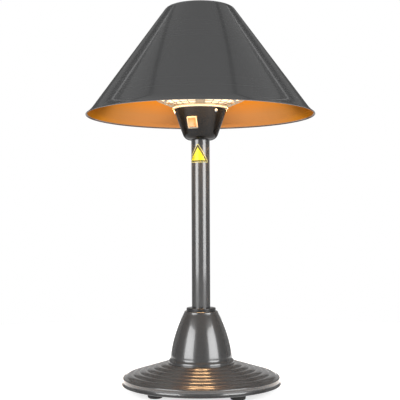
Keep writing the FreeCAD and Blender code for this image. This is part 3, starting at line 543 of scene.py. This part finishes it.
def triangle_outline(inset, rounding):
    """A rounded triangle, inset from CORNERS: five points to each corner."""
    points = []
    for n in range(3):
        here = CORNERS[n]
        back = (CORNERS[n - 1] - here).normalized()
        on = (CORNERS[(n + 1) % 3] - here).normalized()
        inward = (back + on).normalized()
        centre = here + inward * (inset + rounding) / math.sin(inward.angle(on))
        start = Vector((back.y, -back.x)) * -1
        end = Vector((on.y, -on.x))
        for step in range(5):
            points.append(centre + start.lerp(end, step / 4).normalized() * rounding)
    return points


label = bmesh.new()
outlines = []
for inset, rounding in ((0, 2.6), (1.9, 1.4), (5.4, 0.5)):
    outlines.append([label.verts.new((p.x * MM, 0, p.y * MM)) for p in triangle_outline(inset, rounding)])
label.faces.new(outlines[2]).material_index = 0
for index in (1, 2):
    outer, inner = outlines[index - 1], outlines[index]
    for n in range(len(outer)):
        m = (n + 1) % len(outer)
        label.faces.new((outer[n], outer[m], inner[m], inner[n])).material_index = index
cuts = int(2 * STICKER_HALF / CUT_WIDTH)
for cut in range(1, cuts):
    across = (-STICKER_HALF + cut * CUT_WIDTH) * MM
    everything = label.verts[:] + label.edges[:] + label.faces[:]
    bmesh.ops.bisect_plane(label, geom=everything, dist=1e-7, plane_co=(across, 0, 0), plane_no=(1, 0, 0))
for vert in label.verts:
    turn = STICKER_TURN + vert.co.x / (STICKER_RADIUS * MM)
    vert.co.x = STICKER_RADIUS * MM * math.sin(turn)
    vert.co.y = -STICKER_RADIUS * MM * math.cos(turn)
bmesh.ops.recalc_face_normals(label, faces=label.faces)
bmesh.ops.solidify(label, geom=label.faces[:], thickness=-0.15 * MM)
triangle = settle(
    "warning_triangle", label, "yellow_vinyl", ["pole_sticker"],
    extra=("sticker_margin", "sticker_border"),
)
by_finish = [0, 0, 0]
for face in triangle.data.polygons:
    by_finish[face.material_index] += 1
print("triangle faces, yellow, margin and border:", by_finish)

# %% [markdown]
# ## Pieces on the cup's wall
#
# The switch and three screws sit on the cup's sloping wall. Each is modelled at the origin with Z
# pointing out of the wall, and one matrix then carries it to its place. The place is kept in the
# mesh and not in the object, so object coordinates mean the same thing for every piece. Lengths
# are in millimetres and turns in degrees round the heater, from the front.

# %% Where the cup's wall is
CUP_MOUTH = 66.4
CUP_TOP = 705
CUP_LEAN = math.radians(19.8)
SWITCH_TURN = -21.6
SWITCH_HEIGHT = 668
SCREW_TURN = 37
SCREW_HEIGHT = 697


def on_cup(turn, height):
    """The frame of a piece on the cup: X across, Y up the wall, Z out of it."""
    radius = CUP_MOUTH - math.tan(CUP_LEAN) * (CUP_TOP - height)
    spot = Matrix.Translation(Vector((0, -radius, height)) * MM)
    tip = Matrix.Rotation(math.radians(90) + CUP_LEAN, 4, "X")
    return Matrix.Rotation(math.radians(turn), 4, "Z") @ spot @ tip


print("wall leans by", round(math.degrees(CUP_LEAN), 1), "degrees")

# %% [markdown]
# ## The three housing screws
#
# Button-head screws with a hexagon socket hold the cup. A screw like this is a stack of circles:
# the head's crown, its rounded shoulder, the underside and the shank. Bridging one circle to the
# next makes the skin. The socket starts as a six-sided circle, and pushing its edge down gives it
# real depth, which a painted-on hexagon would not have.

# %% Housing screws
SOCKET_RADIUS = 1.35
SOCKET_DEPTH = 1.3
HEAD_RINGS = ((2.2, 2.3), (3.0, 2.0), (3.7, 1.35), (4.0, 0.6), (4.0, 0.05), (2.0, 0.05), (2.0, -11))


def only(kind, items):
    """The items of one kind: vertices, edges or faces."""
    return [item for item in items if isinstance(item, kind)]


def socket_screw(bm, place):
    """A button-head screw with a six-sided socket, standing on the wall at place."""
    socket = bmesh.ops.create_circle(bm, segments=6, radius=SOCKET_RADIUS * MM)["verts"]
    bmesh.ops.translate(bm, vec=(0, 0, HEAD_RINGS[0][1] * MM), verts=socket)
    socket_edges = list({edge for vert in socket for edge in vert.link_edges})
    rings = []
    for radius, height in HEAD_RINGS:
        ring = bmesh.ops.create_circle(bm, segments=24, radius=radius * MM)["verts"]
        bmesh.ops.translate(bm, vec=(0, 0, height * MM), verts=ring)
        rings.append(list({edge for vert in ring for edge in vert.link_edges}))
    for upper, lower in zip([socket_edges] + rings, rings):
        bmesh.ops.bridge_loops(bm, edges=upper + lower)
    bmesh.ops.edgeloop_fill(bm, edges=rings[-1])
    sunk = bmesh.ops.extrude_edge_only(bm, edges=socket_edges)["geom"]
    sunk_verts = only(bmesh.types.BMVert, sunk)
    bmesh.ops.translate(bm, vec=(0, 0, -SOCKET_DEPTH * MM), verts=sunk_verts)
    bmesh.ops.edgeloop_fill(bm, edges=only(bmesh.types.BMEdge, sunk))
    made = list({vert for ring in rings for edge in ring for vert in edge.verts})
    bmesh.ops.transform(bm, matrix=place, verts=made + socket + sunk_verts)


screws = bmesh.new()
for third in range(3):
    socket_screw(screws, on_cup(SCREW_TURN + third * 120, SCREW_HEIGHT))
bmesh.ops.recalc_face_normals(screws, faces=screws.faces)
settle("cup_screws", screws, "zinc_steel", ["housing_screws"])

# %% [markdown]
# ## The frame of the switch
#
# The switch is a cream frame clipped into the cup and an amber rocker that lights up. The frame
# starts as a block with rounded corners and an eased front edge. Its front and back are inset, the
# two inner faces are removed and their edges bridged, and that opens the window.

# %% Switch frame
BEZEL_WIDE = 26
BEZEL_TALL = 30
BEZEL_BACK = 0.05
BEZEL_FRONT = 2.05
BEZEL_CORNER = 2.2
BEZEL_EASE = 0.7
WINDOW_WIDE = 19.6


def flat_faces(bm, height):
    """The faces that look up or down at this height."""
    return [
        face for face in bm.faces
        if abs(face.calc_center_median().z - height * MM) < 1e-6 and abs(face.normal.z) > 0.9
    ]


def nearest_middle(face):
    return face.calc_center_median().length


def ease(bm, edges, offset, segments):
    """Rounds the edges off, offset millimetres back from each."""
    bmesh.ops.bevel(
        bm, geom=edges, offset=offset * MM, segments=segments, profile=0.5,
        affect="EDGES", clamp_overlap=True, material=-1,
    )
    bm.normal_update()


bezel = bmesh.new()
bmesh.ops.create_cube(bezel, size=1)
block = Vector((BEZEL_WIDE, BEZEL_TALL, BEZEL_FRONT - BEZEL_BACK)) * MM
bmesh.ops.scale(bezel, vec=block, verts=bezel.verts)
bmesh.ops.translate(bezel, vec=(0, 0, (BEZEL_FRONT + BEZEL_BACK) / 2 * MM), verts=bezel.verts)
upright = [edge for edge in bezel.edges if abs(edge.verts[0].co.z - edge.verts[1].co.z) > MM]
ease(bezel, upright, BEZEL_CORNER, 5)
ease(bezel, flat_faces(bezel, BEZEL_FRONT)[0].edges[:], BEZEL_EASE, 3)
border = (BEZEL_WIDE - WINDOW_WIDE) / 2
for height, inset in ((BEZEL_FRONT, border - BEZEL_EASE), (BEZEL_BACK, border)):
    bmesh.ops.inset_region(
        bezel, faces=flat_faces(bezel, height), thickness=inset * MM, use_even_offset=True,
    )
    bezel.normal_update()
inner_faces = [min(flat_faces(bezel, height), key=nearest_middle) for height in (BEZEL_FRONT, BEZEL_BACK)]
inner_edges = [edge for face in inner_faces for edge in face.edges]
bmesh.ops.delete(bezel, geom=inner_faces, context="FACES_ONLY")
bmesh.ops.bridge_loops(bezel, edges=inner_edges)
bmesh.ops.recalc_face_normals(bezel, faces=bezel.faces)
bmesh.ops.transform(bezel, matrix=on_cup(SWITCH_TURN, SWITCH_HEIGHT), verts=bezel.verts)
settle("switch_bezel", bezel, "cream_plastic", ["switch_frame"], crease=50)

# %% [markdown]
# ## The rocker
#
# The rocker is its side view, pushed out to its width. Its two faces slope gently to a shallow
# valley between them, and the long edges are eased. It rides on its own body, because it turns when it is
# pressed. It is drawn at its pivot, tilted as it stands when the heater is on, and then carried to
# the cup.

# %% Rocker
ROCKER_WIDE = 19
ROCKER_REACH = 11.9
ROCKER_TILT = math.radians(-9)
PIVOT_DEPTH = -1.4

rocker = bmesh.new()
reach = ROCKER_REACH
draw_outline(rocker, [
    (0, 3.3), (-(reach - 1.6), 4.6, 1.1), (-(reach - 0.8), 4.4, reach), (-(reach - 0.5), -3.4),
    (-2, -3.4), (-1.4, -6.5), (1.4, -6.5), (2, -3.4), (reach - 0.5, -3.4, reach),
    (reach - 0.8, 4.4, 1.1), (reach - 1.6, 4.6),
])
side = bmesh.ops.contextual_create(rocker, geom=rocker.edges[:])["faces"]
pushed = bmesh.ops.extrude_face_region(rocker, geom=side)["geom"]
bmesh.ops.translate(rocker, vec=(0, ROCKER_WIDE * MM, 0), verts=only(bmesh.types.BMVert, pushed))
bmesh.ops.recalc_face_normals(rocker, faces=rocker.faces)
flanks = [edge for edge in rocker.edges if abs(edge.verts[0].co.y - edge.verts[1].co.y) < 1e-7]
ease(rocker, flanks, 0.5, 2)
bmesh.ops.translate(rocker, vec=(0, -ROCKER_WIDE / 2 * MM, 0), verts=rocker.verts)
upright_side = Matrix.Rotation(math.radians(90), 4, "Z")
seat = Matrix.Translation((0, 0, PIVOT_DEPTH * MM)) @ Matrix.Rotation(ROCKER_TILT, 4, "X")
rocker_place = on_cup(SWITCH_TURN, SWITCH_HEIGHT) @ seat @ upright_side
bmesh.ops.transform(rocker, matrix=rocker_place, verts=rocker.verts)
settle("rocker_cap", rocker, "amber_plastic", ["switch_rocker"], body="rocker", crease=40)

# %% [markdown]
# ## The lamp's heating coil
#
# The hot wire in the lamp is wound like a spring, and the spring is bent into a ring with a gap at
# the rear. Its path has two turns in one: an angle round the ring and a much faster angle round the
# wire's own little circle. A curve with a round bevel follows such a path quickly, and is then
# turned into a mesh. The ring's size is read from the lamp's tube, so the coil always fits it.

# %% Heating coil
COIL_RADIUS = 2.2
COIL_WIRE = 0.42
COIL_TURNS = 230
POINTS_PER_TURN = 10

tube_low, tube_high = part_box("lamp_tube")
tube_thick = (tube_high.z - tube_low.z) / 2
lamp_ring = tube_high.x - tube_thick
lamp_height = (tube_low.z + tube_high.z) / 2
gap_half = math.radians(8)

winding = bpy.data.curves.new("winding", "CURVE")
winding.dimensions = "3D"
winding.bevel_depth = COIL_WIRE * MM
winding.bevel_resolution = 1
winding.use_fill_caps = True
spline = winding.splines.new("POLY")
spline.points.add(COIL_TURNS * POINTS_PER_TURN)
for count, point in enumerate(spline.points):
    share = count / (len(spline.points) - 1)
    round_ring = math.radians(90) + gap_half + share * (math.tau - 2 * gap_half)
    round_coil = share * COIL_TURNS * math.tau
    radius = lamp_ring + (COIL_RADIUS - COIL_WIRE) * MM * math.cos(round_coil)
    height = lamp_height + (COIL_RADIUS - COIL_WIRE) * MM * math.sin(round_coil)
    point.co = (radius * math.cos(round_ring), radius * math.sin(round_ring), height, 1)
winding_object = bpy.data.objects.new("winding", winding)
wound = bmesh.new()
wound.from_mesh(bpy.data.meshes.new_from_object(winding_object))
bpy.data.objects.remove(winding_object)
bmesh.ops.recalc_face_normals(wound, faces=wound.faces)
settle("heating_coil", wound, "hot_coil", ["lamp_coil"])
print("lamp ring and height in mm:", round(lamp_ring * 1000, 1), round(lamp_height * 1000, 1))

# %% [markdown]
# ## A round wire along a path
#
# The wires of the guard follow a path too, and these are few, so their points are listed. The wire
# starts as a small circle across the path's first point. Each step extrudes the circle's edge and
# carries it to the next point with the smallest possible turn, which keeps the wire from twisting.

# %% Wire along a path
WIRE_SIDES = 8


def wire_along(bm, path, thick):
    """A round wire of radius thick through the points of path, in metres, with closed ends."""
    headings = [(after - before).normalized() for before, after in zip(path, path[1:])]
    headings.append(headings[-1])
    turn = headings[0].to_track_quat("Z", "Y")
    here = Matrix.Translation(path[0]) @ turn.to_matrix().to_4x4()
    ring = bmesh.ops.create_circle(bm, cap_ends=True, segments=WIRE_SIDES, radius=thick, matrix=here)["verts"]
    edges = list({edge for vert in ring for edge in vert.link_edges})
    for point, arriving, leaving in zip(path[1:], headings, headings[1:]):
        before = here.to_3x3() @ Vector((0, 0, 1))
        turn = before.rotation_difference((arriving + leaving).normalized()).to_matrix().to_4x4()
        carried = Matrix.Translation(point) @ turn @ Matrix.Translation(-here.translation)
        grown = bmesh.ops.extrude_edge_only(bm, edges=edges)["geom"]
        edges = only(bmesh.types.BMEdge, grown)
        bmesh.ops.transform(bm, matrix=carried, verts=only(bmesh.types.BMVert, grown))
        here = carried @ here
    bmesh.ops.edgeloop_fill(bm, edges=edges)


print("sides of a wire:", WIRE_SIDES)

# %% [markdown]
# ## The guard
#
# The guard is a cone of steel wire under the lamp that keeps hands off it. One spoke is drawn and
# the spin operator copies it round the axis. Each hoop is a small circle swept once round. On the
# real guard the hoops are spot-welded across the spokes, so here they overlap them a little.

# %% Guard
GUARD_WIRE = 1.0
SPOKES = 24
HOOPS = ((64.4, 713.9), (79, 716.6), (93, 722.6), (107, 728.6), (122.2, 745.8))
spoke_line = [
    (64, 714.3), (70.6, 714.3), (72, 714.5), (73.3, 715.0), (117, 733.5), (118.9, 734.6),
    (120.3, 736.2), (120.9, 738.2), (121, 740), (121, 746.8),
]
guard = bmesh.new()
spoke_path = [Vector((radius, 0, height)) * MM for radius, height in spoke_line]
wire_along(guard, spoke_path, GUARD_WIRE * MM)
half_step = Matrix.Rotation(math.pi / SPOKES, 3, "Z")
bmesh.ops.rotate(guard, cent=(0, 0, 0), matrix=half_step, verts=guard.verts)
bmesh.ops.spin(
    guard, geom=guard.verts[:] + guard.edges[:] + guard.faces[:], cent=(0, 0, 0), axis=(0, 0, 1),
    angle=math.tau * (SPOKES - 1) / SPOKES, steps=SPOKES - 1, use_duplicate=True,
)
lying = Matrix.Rotation(math.radians(90), 4, "X")
for radius, height in HOOPS:
    start = Matrix.Translation(Vector((radius, 0, height)) * MM) @ lying
    hoop = bmesh.ops.create_circle(
        guard, segments=WIRE_SIDES, radius=GUARD_WIRE * MM, matrix=start,
    )["verts"]
    hoop_edges = list({edge for vert in hoop for edge in vert.link_edges})
    bmesh.ops.spin(
        guard, geom=hoop + hoop_edges, cent=(0, 0, 0), axis=(0, 0, 1),
        angle=math.tau, steps=120, use_merge=True,
    )
bmesh.ops.recalc_face_normals(guard, faces=guard.faces)
settle("lamp_guard", guard, "bright_steel", ["wire_guard"])

# %% [markdown]
# ## The camera
#
# The camera is level and stands two metres and a bit away, a little below the heater's middle.
# Shifting the lens up instead of tilting the camera keeps the upright lines upright, as an
# architect's camera does. A turn of a quarter of a degree about the line of sight lets the heater
# lean as little as it would before a hand-held camera.

# %% Camera
LENS = 77.67
LENS_SHIFT = 0.0718
CAMERA_SPOT = (-0.002, -2.164, 0.407)
CAMERA_ROLL = math.radians(0.23)

camera = bpy.data.objects.new("camera", bpy.data.cameras.new("camera"))
bpy.context.scene.collection.objects.link(camera)
camera.data.sensor_width = 36
camera.data.lens = LENS
camera.data.shift_y = LENS_SHIFT
camera.location = CAMERA_SPOT
camera.rotation_euler = (math.radians(90), CAMERA_ROLL, 0)
bpy.context.scene.camera = camera
print("camera height in mm:", round(camera.location.z * 1000))

# %% [markdown]
# ## The floor
#
# The heater stands on a round pale floor that fades into the surround. A floor lit by the lamps
# alone would look grey against white, so it glows a little. The glow is weaker near the middle,
# which paints a soft shadow round the foot and lets its own soft shadow show, and full from 40
# centimetres out.

# %% Floor
FLOOR_RADIUS = 1.7
SHADOW_FROM = 0.15
SHADOW_TO = 0.4
FLOOR_GLOW_NEAR = 0.65
FLOOR_GLOW_FAR = 0.95

floor_mesh = bmesh.new()
bmesh.ops.create_circle(floor_mesh, cap_ends=True, segments=96, radius=FLOOR_RADIUS)
floor = bpy.data.objects.new("floor", bpy.data.meshes.new("floor"))
floor_mesh.to_mesh(floor.data)
floor_mesh.free()
bpy.context.scene.collection.objects.link(floor)
floor_material = bpy.data.materials.new("studio_floor")
floor_material.use_nodes = True
floor_shader = floor_material.node_tree.nodes["Principled BSDF"]
floor_shader.inputs["Base Color"].default_value = (0.9, 0.9, 0.9, 1)
floor_shader.inputs["Roughness"].default_value = 0.8
floor_shader.inputs["Emission Color"].default_value = (1, 1, 1, 1)
floor_tree = floor_material.node_tree
from_middle = floor_tree.nodes.new("ShaderNodeVectorMath")
from_middle.operation = "LENGTH"
floor_tree.links.new(object_place(floor_tree), from_middle.inputs[0])
# Painted shadow: the floor glows less near the foot, which darkens it round the heater.
glow_with_painted_shadow = floor_tree.nodes.new("ShaderNodeMapRange")
glow_with_painted_shadow.inputs["From Min"].default_value = SHADOW_FROM
glow_with_painted_shadow.inputs["From Max"].default_value = SHADOW_TO
glow_with_painted_shadow.inputs["To Min"].default_value = FLOOR_GLOW_NEAR
glow_with_painted_shadow.inputs["To Max"].default_value = FLOOR_GLOW_FAR
floor_tree.links.new(from_middle.outputs["Value"], glow_with_painted_shadow.inputs["Value"])
floor_tree.links.new(glow_with_painted_shadow.outputs["Result"], floor_shader.inputs["Emission Strength"])
floor.data.materials.append(floor_material)
print("floor radius:", FLOOR_RADIUS)

# %% [markdown]
# ## The surround
#
# The camera sees an even white surround. The heater itself sees a dim one, because a white room
# would fill every reflection and the metal would lose its shape. The light path node tells the two
# kinds of ray apart.

# %% Surround
SEEN_BY_HEATER = 0.09
SEEN_BY_CAMERA = 1.0

world = bpy.data.worlds.new("studio")
world.use_nodes = True
surround = world.node_tree.nodes["Background"]
surround.inputs["Color"].default_value = (1, 1, 1, 1)
what_looks = world.node_tree.nodes.new("ShaderNodeLightPath")
brightness = world.node_tree.nodes.new("ShaderNodeMapRange")
brightness.inputs["To Min"].default_value = SEEN_BY_HEATER
brightness.inputs["To Max"].default_value = SEEN_BY_CAMERA
world.node_tree.links.new(what_looks.outputs["Is Camera Ray"], brightness.inputs["Value"])
world.node_tree.links.new(brightness.outputs["Result"], surround.inputs["Strength"])
bpy.context.scene.world = world
bpy.context.scene.view_settings.view_transform = "Standard"
print("surround seen by the heater:", SEEN_BY_HEATER)

# %% [markdown]
# ## Soft boxes
#
# Two large, nearly square soft boxes stand to the left and right, between the camera and the
# heater. A round pole squeezes each of them into one clean upright streak. Three soft panels overhead
# light the cone of the shade, whose slope looks up; the gaps between them draw the soft dark
# streaks on it, and two narrow strips behind them draw the fine bright line down either side. Dim
# panels at the back keep the far side and the far edge of the foot from going black.

# %% Soft boxes
def soft_box(name, spot, wide, tall, glow, turn=0, tip=0):
    """A lit panel at spot. Unturned it faces away from the camera; turn swings it round the upright
    axis, tip turns its face down, and glow is its brightness. The camera doesn't see it."""
    light = bpy.data.lights.new(name, "AREA")
    light.shape = "RECTANGLE"
    light.size = wide
    light.size_y = tall
    light.energy = glow * math.pi * wide * tall
    holder = bpy.data.objects.new(name, light)
    holder.location = spot
    holder.rotation_euler = (math.radians(90 - tip), 0, math.radians(turn))
    holder.visible_camera = False
    bpy.context.scene.collection.objects.link(holder)


for side, label in ((-1, "left"), (1, "right")):
    soft_box(f"soft_box_{label}", (side * 1.42, -1.28, 0.78), 1.25, 1.2, 7, turn=side * 48)
    soft_box(f"edge_strip_{label}", (side * 1.55, 1.52, 2.6), 1.1, 0.13, 1.0, turn=side * 32, tip=90)
soft_box("overhead", (-0.16, 0.7, 2.6), 1.72, 3.2, 0.34, tip=90)
soft_box("overhead_left", (-1.735, 0.125, 2.6), 1.23, 2.05, 0.32, tip=90)
soft_box("overhead_right", (1.575, 0.125, 2.6), 1.55, 2.05, 0.32, tip=90)
soft_box("overhead_back", (0, 3.3, 2.6), 6.0, 1.6, 0.12, tip=90)
soft_box("white_card", (0, 2.2, 0.5), 2.2, 1.0, 0.42, turn=180)
for side, label in ((-1, "left"), (1, "right")):
    soft_box(f"back_{label}", (side * 1.9, 1.7, 1.0), 1.3, 1.8, 0.24, turn=side * 132)

# %% [markdown]
# ## Light from the heater itself
#
# The hot wire is far brighter than a screen can show. Drawn at its true brightness it would burn
# out to a white patch and hide the guard. So the wire and the glass get a modest glow of their own.
# A warm disc-shaped light just below the guard, which the camera can't see, casts the light that
# falls on the cup and on the ribs of the foot.

# %% Warm light under the lamp
GLOW_WIDE = 0.23
GLOW_COLOUR = (1.0, 0.57, 0.26)
GLOW_WATTS = 4.3
GLOW_HEIGHT = 0.7085

glow_light = bpy.data.lights.new("lamp_glow", "AREA")
glow_light.shape = "DISK"
glow_light.size = GLOW_WIDE
glow_light.color = GLOW_COLOUR
glow_light.energy = GLOW_WATTS
glow_holder = bpy.data.objects.new("lamp_glow", glow_light)
glow_holder.location = (0, 0, GLOW_HEIGHT)
glow_holder.visible_camera = False
bpy.context.scene.collection.objects.link(glow_holder)
print("glow in watts:", GLOW_WATTS)
